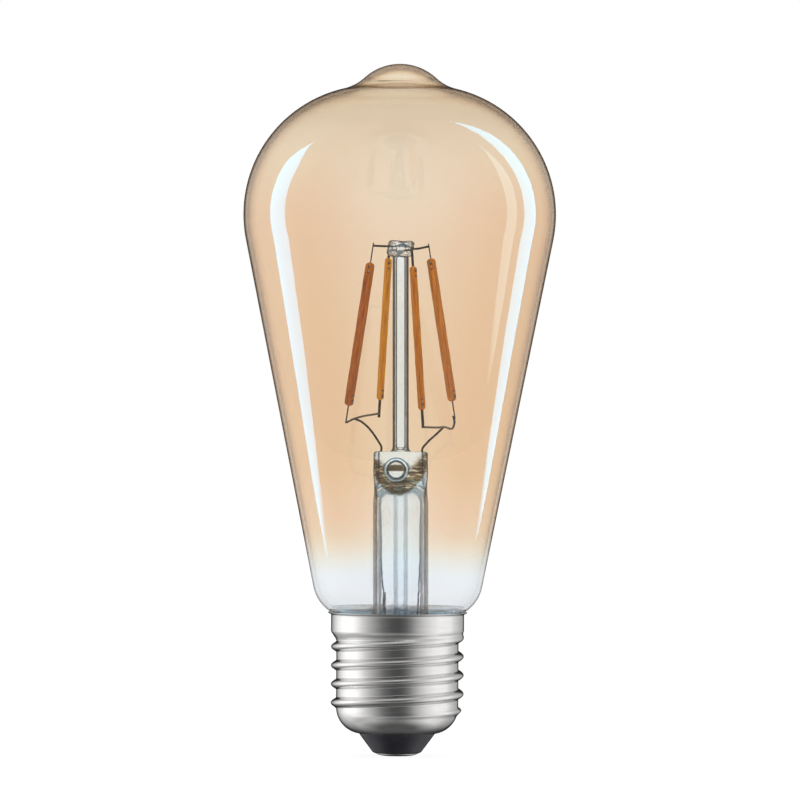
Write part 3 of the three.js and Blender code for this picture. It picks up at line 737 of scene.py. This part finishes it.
def press_blow_hole(bm):
    """Pushes the front of the press in, to a round hole with a raised lip."""
    for vert in bm.verts:
        x, y, z = vert.co / MM
        if y > -0.8 or z < PRESS_BOTTOM or z > PRESS_TOP - 0.3:
            continue
        away = (Vector((x, z)) - BLOW_HOLE).length
        depth = 2.0 * (1 - smooth(away, BLOW_HOLE_RADIUS * 0.62, BLOW_HOLE_RADIUS * 0.98))
        lip = 0.35 * smooth(away, BLOW_HOLE_RADIUS * 0.8, BLOW_HOLE_RADIUS)
        lip *= 1 - smooth(away, BLOW_HOLE_RADIUS, BLOW_HOLE_RADIUS * 1.35)
        vert.co.y += (depth - lip) * MM


def make_stem():
    outside, inside = stem_outline()
    bm = turned(outside[::-1] + inside, 192)
    pinch(bm)
    press_blow_hole(bm)
    lean_mount(bm)
    return piece(bm, "stem_glass", STEM, "clear_glass", "stem_press_and_flare")


def make_blow_hole_rim():
    """The rounded lip of melted glass round the blow hole."""
    bm = bmesh.new()
    bmesh.ops.create_circle(bm, radius=0.38, segments=16, cap_ends=False)
    bmesh.ops.translate(bm, verts=bm.verts, vec=(BLOW_HOLE_RADIUS - 0.1, 0, 0))
    bmesh.ops.spin(
        bm, geom=bm.verts[:] + bm.edges[:], cent=(0, 0, 0), axis=(0, 1, 0), angle=2 * pi, steps=56,
        use_merge=True,
    )
    bmesh.ops.remove_doubles(bm, verts=bm.verts, dist=1e-5)
    front = -PRESS_HALF_THICKNESS - 0.1
    place = Matrix.Translation((BLOW_HOLE.x, front, BLOW_HOLE.y))
    bmesh.ops.transform(bm, matrix=Matrix.Scale(MM, 4) @ place, verts=bm.verts)
    lean_mount(bm)
    bmesh.ops.recalc_face_normals(bm, faces=bm.faces)
    return piece(bm, "blow_hole_rim", ROD, "clear_glass")


def make_exhaust_tube():
    """A thin tube, open at the top, with its bottom end melted round and shut."""
    bottom = 16.4
    top = 54.9
    turn = bottom + EXHAUST_RADIUS
    outside = [*arc((0, turn), EXHAUST_RADIUS, -pi / 2, 0, 8), (EXHAUST_RADIUS, top)]
    inside = [(EXHAUST_BORE, top), *arc((0, turn + 0.6), EXHAUST_BORE, 0, -pi / 2, 6)]
    outside[0] = (0, bottom)
    inside[-1] = (0, inside[-1][1])
    bm = turned(outside + inside, 48)
    lean_mount(bm)
    return piece(bm, "exhaust_tube_glass", TUBE, "clear_glass", "exhaust_tube")


def make_post():
    bottom = PRESS_TOP + 0.02
    shoulder = PRESS_TOP + 1.0
    top = BEAD_BOTTOM + 0.4
    outline = [
        (0, bottom),
        (POST_RADIUS + 0.5, bottom),
        (POST_RADIUS + 0.16, PRESS_TOP + 0.35),
        (POST_RADIUS, shoulder),
        *[(POST_RADIUS, mix(shoulder, top, i / 24)) for i in range(1, 25)],
        (0, top),
    ]
    bm = turned(outline, 64)
    lean_mount(bm)
    return piece(bm, "support_rod_glass", ROD, "clear_glass", "support_post")


def make_tip_fold():
    """The thin brown fold left in the crown's tip where the glass was sealed off."""
    bm = bmesh.new()
    bmesh.ops.create_uvsphere(bm, u_segments=40, v_segments=16, radius=1)
    for vert in bm.verts:
        x, y, z = vert.co
        vert.co = (3.7 * x, 1.1 * y, (0.06 + 0.20 * smooth(-x, -0.1, 0.9)) * z + 0.10 * x * x)
    bmesh.ops.translate(bm, verts=bm.verts, vec=(-1.2, -1.5, 136.35))
    bmesh.ops.scale(bm, verts=bm.verts, vec=(MM, MM, MM))
    return piece(bm, "sealed_tip_fold", FOLD, "amber_glass")


def make_bead():
    """The rod's melted end: a lumpy drum of glass round the crossing wires."""
    edge = 0.9
    outline = [
        (0, BEAD_BOTTOM + 0.45),
        (POST_RADIUS + 0.3, BEAD_BOTTOM + 0.3),
        *arc((BEAD_RADIUS - edge, BEAD_BOTTOM + edge), edge, -pi / 2, 0, 8),
        *arc((BEAD_RADIUS - edge * 0.7, BEAD_TOP - edge * 0.7), edge * 0.7, 0, pi / 2, 8),
        (0, BEAD_TOP - 0.1),
    ]
    bm = turned(outline, 72)
    for vert in bm.verts:
        x, y, z = vert.co / MM
        lump = 0.13 * sin(3 * atan2(y, x) + 1.7 * z) + 0.09 * sin(5 * atan2(y, x) - 2.3 * z + 1)
        lump *= smooth(hypot(x, y), 0.8, 2.2)
        vert.co += Vector((x, y, 0)).normalized() * lump * MM
        vert.co.z += 0.10 * sin(2 * atan2(y, x) + 0.5) * smooth(hypot(x, y), 0.5, 2.0) * MM
    lean_mount(bm)
    return piece(bm, "anchor_bead_glass", BEAD, "clear_glass")


# ---------------------------------------------------------------- filaments and wires
def on_filament(name, height, outwards=0):
    azimuth, lift = FILAMENTS[name]
    radius = FILAMENT_TOP_RADIUS + (FILAMENT_TOP + lift - height) * tan(LEAN) + outwards
    return (radius * cos(azimuth), radius * sin(azimuth), height)


def filament_place(name):
    """From a filament's own frame (X outwards, Z along it, middle at the origin) to the lamp's."""
    azimuth, lift = FILAMENTS[name]
    radius = (FILAMENT_TOP_RADIUS + FILAMENT_BOTTOM_RADIUS) / 2
    middle = Vector((radius, 0, (FILAMENT_TOP + FILAMENT_BOTTOM) / 2 + lift))
    turn = Matrix.Rotation(azimuth, 4, "Z")
    return Matrix.Scale(MM, 4) @ turn @ Matrix.Translation(middle) @ Matrix.Rotation(-LEAN, 4, "Y")


def place_on_filament(bm, name):
    bmesh.ops.transform(bm, matrix=filament_place(name), verts=bm.verts)
    lean_mount(bm)
    bmesh.ops.recalc_face_normals(bm, faces=bm.faces)


def make_phosphor(name):
    """A bar of rounded-square section with rounded ends, slightly uneven along its length."""
    bm = bmesh.new()
    bmesh.ops.create_uvsphere(bm, u_segments=32, v_segments=14, radius=1)
    shoulder = 0.75
    for vert in bm.verts:
        x, y, z = vert.co
        height = z * shoulder
        if z > 1e-4:
            height += FILAMENT_HALF - shoulder
        elif z < -1e-4:
            height -= FILAMENT_HALF - shoulder
        squarish = 1 - 0.07 * sin(2 * atan2(y, x)) ** 2
        vert.co = (x * FILAMENT_RADIAL / 2 / squarish, y * FILAMENT_ACROSS / 2 / squarish, height)
    long_edges = [e for e in bm.edges if abs(e.verts[0].co.z - e.verts[1].co.z) > 5]
    bmesh.ops.subdivide_edges(bm, edges=long_edges, cuts=14, use_grid_fill=True)
    seed = list(FILAMENTS).index(name) * 2.1
    for vert in bm.verts:
        swell = 1 + 0.02 * sin(0.9 * vert.co.z + seed) + 0.012 * sin(2.3 * vert.co.z + 2 * seed)
        vert.co.x *= swell
        vert.co.y *= swell
    across_and_along = bm.loops.layers.uv.new("UVMap")
    for face in bm.faces:
        for loop in face.loops:
            x, y, z = loop.vert.co
            loop[across_and_along].uv = (x + 0.8 * y + seed, z + 3 * seed)
    place_on_filament(bm, name)
    return piece(bm, f"filament_{name}_bar", FILAMENT_SKINS[name], "phosphor", f"filament_{name}_phosphor")


def block(bm, middle, size, softness):
    """Adds one small block with soft edges, in a filament's own frame."""
    made = bmesh.ops.create_cube(bm, size=1)["verts"]
    shape = Matrix.Translation(middle) @ Matrix.Diagonal((*size, 1))
    bmesh.ops.transform(bm, matrix=shape, verts=made)
    edges = {edge for vert in made for edge in vert.link_edges}
    bmesh.ops.bevel(
        bm, geom=list(edges), offset=softness, offset_type="OFFSET", affect="EDGES", segments=2, profile=0.5,
        material=-1,
    )


def make_windows(name):
    """The chips and bond pads that show through bare spots near both ends of the phosphor."""
    chips = bmesh.new()
    pads = bmesh.new()
    sideways = name in ("left", "right")
    for end in (-1, 1):
        for face in (-1, 1):
            for along, length in ((0.95, 0.62), (2.05, 0.42)):
                height = end * (FILAMENT_HALF - along)
                if sideways:
                    middle = Vector((0.42 * face * end, face * (FILAMENT_ACROSS / 2 - 0.03), height))
                    chip = (0.46, 0.09, length)
                    pad = (0.16, 0.13, 0.17)
                else:
                    middle = Vector((face * (FILAMENT_RADIAL / 2 - 0.03), 0.16 * end, height))
                    chip = (0.09, 0.40, length)
                    pad = (0.13, 0.15, 0.17)
                block(chips, middle, chip, 0.035)
                block(pads, middle + Vector((0, 0, end * 0.12)), pad, 0.03)
    place_on_filament(chips, name)
    place_on_filament(pads, name)
    piece(chips, f"filament_{name}_chips", CHIP, "chip_strip", f"filament_{name}_chip_strip")
    piece(pads, f"filament_{name}_bond_pads", PAD, "chip_strip", f"filament_{name}_chip_strip")


def make_tab(name, label, low, high, width):
    """A thin metal tab that leaves the end of a filament."""
    bm = bmesh.new()
    block(bm, (0, 0, (low + high) / 2), (width * 0.8, width, high - low), 0.06)
    place_on_filament(bm, name)
    return piece(bm, f"filament_{name}_{label}", WIRE, "nickel_wire", f"filament_{name}_{label}_tab")


def make_tabs(name):
    """The top tab reaches its anchor wire, and the bottom one its bus wire."""
    sideways = name in ("left", "right")
    wire_height = SIDE_WIRE_HEIGHT if sideways else CROSS_WIRE_HEIGHT
    past = (wire_height + 0.6 - FILAMENT_TOP - FILAMENTS[name][1]) / cos(LEAN)
    make_tab(name, "top", FILAMENT_HALF - 1.6, FILAMENT_HALF + past, 0.27 if sideways else 0.46)
    make_tab(name, "bottom", -FILAMENT_HALF - 3.6, -FILAMENT_HALF + 1.6, 0.3 if sideways else 0.5)


def make_wires():
    beside = -0.3
    into = -0.15
    nickel_wires = {
        "anchor_wire_side": ("anchor_wire_sideways", [
            on_filament("left", SIDE_WIRE_HEIGHT, into), (-2.6, -1.0, 103.55), (0, 0, SIDE_WIRE_HEIGHT),
            (2.8, 1.1, 103.1), on_filament("right", SIDE_WIRE_HEIGHT, into),
        ]),
        "anchor_wire_cross": ("anchor_wire_front_back", [
            on_filament("back", CROSS_WIRE_HEIGHT, into), (0, 0, CROSS_WIRE_HEIGHT),
            on_filament("front", CROSS_WIRE_HEIGHT, into),
        ]),
        "bus_left": ("bus_wire_left", [
            on_filament("left", 67.8, beside), (-9.4, -1.2, 68.5), on_filament("back", 69.6, beside),
        ]),
        "bus_right": ("bus_wire_right", [
            on_filament("front", 66.9, beside), (8.6, -1.9, 66.9), on_filament("right", 67.6, beside),
            on_filament("right", 69.2, beside),
        ]),
        "lead_left": ("inner_lead_left", [
            (-4.2, 0, 61.5), (-3.9, 0, 62.6), (-4.4, 0, 63.7), (-7.8, -0.4, 67.8), (-9.3, -1.1, 68.45),
        ]),
        "lead_right": ("inner_lead_right", [
            (4.4, 0, 61.5), (4.4, 0, 62.4), (5.1, -0.3, 63.4), (7.6, -1.4, 65.8), (8.6, -1.85, 66.8),
        ]),
    }
    for name, (node, points) in nickel_wires.items():
        wire(name, points, WIRE_RADIUS, WIRE, "nickel_wire", node)
    seal = [(LEAD_OFFSET, 0, 55.2), (LEAD_OFFSET, 0, 58), (LEAD_OFFSET, 0, 61.6)]
    lead = [
        (LEAD_OFFSET, 0, 55.3), (4.3, 0, 52), (4.0, 0, 46), (3.9, 0, 38), (3.5, -0.2, 31),
        (4.2, -0.4, 22), (4.2, -0.4, 13.4),
    ]
    for side, sign in (("left", -1), ("right", 1)):
        seal_here = [(sign * x, y, z) for x, y, z in seal]
        lead_here = [(sign * x, y, z) for x, y, z in lead]
        wire(f"seal_wire_{side}", seal_here, SEAL_WIRE_RADIUS, DUMET, "dumet_wire", f"dumet_seal_{side}")
        wire(f"stem_lead_{side}", lead_here, STEM_LEAD_RADIUS, WIRE, "copper_wire", f"outer_lead_{side}")


# ---------------------------------------------------------------- inside the cap
def dress_cad_nodes():
    board = plain("green_circuit_board", (0.010, 0.09, 0.035), (0.015, 0.13, 0.05), 500, 0.4)
    chip = plain("moulded_black_epoxy", (0.010, 0.010, 0.011), (0.02, 0.02, 0.021), 900, 0.5)
    can = plain("brushed_can", (0.50, 0.51, 0.52), (0.62, 0.63, 0.64), 700, 0.35, 1)
    finishes = {
        "driver_board": board, "radio_board": board,
        "bridge_rectifier": chip, "driver_chip": chip,
        "smoothing_capacitor": can, "radio_shield_can": can, "radio_pin_header": can, "resistor_tail": can,
        "film_capacitor": plain("dipped_yellow_epoxy", (0.42, 0.20, 0.02), (0.52, 0.27, 0.04), 600, 0.35),
        "choke_core": plain("dark_ferrite", (0.025, 0.023, 0.022), (0.05, 0.045, 0.042), 900, 0.6),
        "choke_winding": COPPER,
        "radio_antenna_wire": plain("black_wire_skin", (0.012, 0.012, 0.013), (0.02, 0.02, 0.022), 900, 0.5),
        "fusible_resistor": plain("blue_lacquer", (0.03, 0.12, 0.26), (0.05, 0.17, 0.33), 900, 0.35),
        "resistor_sleeve": plain("white_glass_fibre", (0.62, 0.60, 0.55), (0.75, 0.73, 0.68), 1500, 0.8),
        "live_lead": plain("red_wire_skin", (0.34, 0.02, 0.015), (0.42, 0.03, 0.02), 900, 0.5),
        "neutral_lead": plain("black_lead_skin", (0.012, 0.012, 0.013), (0.02, 0.02, 0.022), 900, 0.5),
        "basing_cement": plain("baked_cement", (0.74, 0.72, 0.68), (0.84, 0.82, 0.78), 700, 0.9),
    }
    for node, material in finishes.items():
        for place in frame["nodes"][node].material_slots:
            place.material = material


# ---------------------------------------------------------------- stage
def make_camera():
    camera = bpy.data.objects.new("camera", bpy.data.cameras.new("camera"))
    bpy.context.scene.collection.objects.link(camera)
    camera.location = (0.00026, -1.287, 0.0723)
    camera.rotation_euler = (pi / 2, radians(-0.3), 0)
    camera.data.lens = 285
    camera.data.sensor_width = 36
    camera.data.clip_start = 0.05
    camera.data.clip_end = 50
    bpy.context.scene.camera = camera


def make_world():
    """A white room. Mirrored in the metal it has grey walls, brightest at both sides of the lamp."""
    world = bpy.data.worlds.new("studio")
    bpy.context.scene.world = world
    world.use_nodes = True
    tree = world.node_tree
    split = tree.nodes.new("ShaderNodeSeparateXYZ")
    tree.links.new(tree.nodes.new("ShaderNodeTexCoord").outputs["Generated"], split.inputs["Vector"])
    front = calculate(tree, "MULTIPLY", split.outputs["Y"], -1)
    turn = calculate(tree, "ARCTAN2", split.outputs["X"], front)
    round_lamp = map_range(tree, turn, -pi, pi, 0, 1)

    def at(degrees, value):
        return (0.5 + degrees / 360, grey(value))

    walls = ramp(
        tree, round_lamp,
        at(-180, 0.01), at(-163, 0.02), at(-152, 0.45), at(-141, 0.70), at(-124, 1.10), at(-108, 1.34),
        at(-92, 1.40), at(-78, 1.18), at(-66, 0.84), at(-52, 0.55), at(-40, 0.36), at(-26, 0.17),
        at(-10, 0.09), at(3, 0.08), at(14, 0.12), at(24, 0.24), at(33, 0.43), at(45, 0.65),
        at(60, 0.90), at(78, 1.08), at(104, 1.06), at(120, 0.74), at(140, 0.52), at(152, 0.46),
        at(163, 0.02), at(180, 0.01),
    )
    low_walls = ramp(
        tree, round_lamp,
        at(-180, 0.03), at(-160, 0.12), at(-120, 0.55), at(-60, 0.56), at(-24, 0.32), at(0, 0.25),
        at(18, 0.30), at(48, 0.66), at(80, 0.92), at(110, 0.75), at(155, 0.12), at(180, 0.03),
    )
    down = map_range(tree, split.outputs["Z"], -0.20, -0.62, 0, 1)
    floorwards = map_range(tree, split.outputs["Z"], -0.72, -0.95, 0, 1)
    up = map_range(tree, split.outputs["Z"], 0.45, 0.9, 0, 1)
    lit = blend(tree, down, walls, low_walls)
    lit = blend(tree, floorwards, lit, grey(0.10))
    lit = blend(tree, up, lit, grey(0.55))
    ray = tree.nodes.new("ShaderNodeLightPath")
    mirrored = calculate(
        tree, "SUBTRACT", ray.outputs["Is Glossy Ray"], ray.outputs["Is Transmission Ray"], clamped=True
    )
    tree.links.new(blend(tree, mirrored, grey(1), lit), tree.nodes["Background"].inputs["Color"])
    world.cycles.sampling_method = "NONE"


def around(azimuth, distance):
    """A place round the lamp. Azimuth turns from the camera's side towards +X."""
    return Vector((distance * sin(azimuth), -distance * cos(azimuth), 0))


def soft_panel(name, azimuth, width, heights, radiance, colour, receivers):
    """A tall softbox 1.2 m away, of even width up to the middle height and pointed at both ends."""
    low, taper, high = heights
    bm = bmesh.new()
    bmesh.ops.create_grid(bm, x_segments=6, y_segments=160, size=0.5)
    for vert in bm.verts:
        z = mix(low, high, vert.co.y + 0.5)
        narrow = sqrt(min((z - low) / 0.055, 1)) * (1 - smooth(z, taper, high) * 0.98)
        across = around(azimuth + pi / 2, vert.co.x * width * narrow)
        vert.co = around(azimuth, 1.2) + across + Vector((0, 0, z))
    material, tree, paint = new_material(name)
    tree.nodes.remove(paint)
    shine = tree.nodes.new("ShaderNodeEmission")
    shine.inputs["Color"].default_value = (*colour, 1)
    fade = ramp(tree, map_range(tree, height_of(tree), low, low + 0.03, 0, 1), (0.0, grey(0)), (1.0, grey(1)))
    tree.links.new(calculate(tree, "MULTIPLY", fade, radiance), shine.inputs["Strength"])
    both = tree.nodes.new("ShaderNodeAddShader")
    tree.links.new(shine.outputs["Emission"], both.inputs[0])
    tree.links.new(tree.nodes.new("ShaderNodeBsdfTransparent").outputs["BSDF"], both.inputs[1])
    output = next(one for one in tree.nodes if one.type == "OUTPUT_MATERIAL")
    tree.links.new(both.outputs["Shader"], output.inputs["Surface"])
    panel = mesh_object(name, bm, material)
    panel.visible_camera = False
    panel.visible_diffuse = False
    panel.visible_transmission = False
    panel.visible_shadow = False
    panel.light_linking.receiver_collection = receivers


def fill_light(name, azimuth, radiance, colour, receivers):
    """A large soft light 1.6 m away that shows in no mirror and through no glass."""
    width = 0.9
    low = -0.5
    high = 1.1
    stand = around(azimuth, 1.6)
    light = bpy.data.lights.new(name, "AREA")
    light.color = colour
    light.shape = "RECTANGLE"
    light.size = width
    light.size_y = high - low
    light.energy = radiance * pi * width * (high - low)
    obj = bpy.data.objects.new(name, light)
    bpy.context.scene.collection.objects.link(obj)
    obj.location = stand + Vector((0, 0, (low + high) / 2))
    obj.rotation_euler = (-stand).to_track_quat("-Z", "Y").to_euler()
    obj.visible_camera = False
    obj.visible_glossy = False
    obj.visible_transmission = False
    obj.light_linking.receiver_collection = receivers


def make_floor():
    bm = bmesh.new()
    bmesh.ops.create_circle(bm, cap_ends=True, radius=6, segments=64)
    material, _, paint = new_material("pale_floor")
    set_inputs(
        paint, Roughness=1, Specular_IOR_Level=0, Base_Color=(0.1, 0.1, 0.1, 1), Emission_Color=(1, 1, 1, 1),
        Emission_Strength=0.93,
    )
    floor = mesh_object("floor", bm, material)
    floor.visible_glossy = False
    floor.visible_diffuse = False


def gathered(name, pieces):
    """A collection that a light can be kept to."""
    group = bpy.data.collections.new(name)
    for one in pieces:
        group.objects.link(one)
    return group


make_camera()
bulb = make_envelope()
make_tip_fold()
bulb.visible_shadow = False
make_cap()
make_insulator()
make_contact()
before_mount = set(bpy.context.scene.collection.objects)
make_stem()
make_blow_hole_rim()
make_exhaust_tube()
make_post()
make_bead()
for filament in FILAMENTS:
    make_phosphor(filament)
    make_windows(filament)
    make_tabs(filament)
make_wires()
mount = [one for one in bpy.context.scene.collection.objects if one not in before_mount]
mount_glass = [one for one in mount if one.name.endswith(("_glass", "_rim"))]
for one in mount_glass:
    one.visible_shadow = False
dress_cad_nodes()

make_world()
make_floor()
bulb_only = gathered("bulb_glass_only", [bulb])
soft_panel("left_softbox", radians(-101), 0.36, (-0.292, 0.7, 1.34), 12.3, (0.09, 0.45, 0.725), bulb_only)
soft_panel("right_softbox", radians(111), 0.32, (-0.252, 0.9, 2.9), 12.3, (0.11, 0.40, 0.60), bulb_only)
soft_panel("right_glow", radians(90), 0.22, (-0.26, 0.5, 1.5), 2.6, (0.60, 0.95, 1.0), bulb_only)
mount_only = gathered("mount_glass", mount_glass)
for azimuth in (-30, 35, 150, -145):
    fill_light(f"mount_fill_{azimuth}", radians(azimuth), 13, (0.20, 0.60, 1.0), mount_only)

scene = bpy.context.scene
scene.view_settings.view_transform = "Standard"
scene.cycles.max_bounces = 24
scene.cycles.transmission_bounces = 20
scene.cycles.glossy_bounces = 8
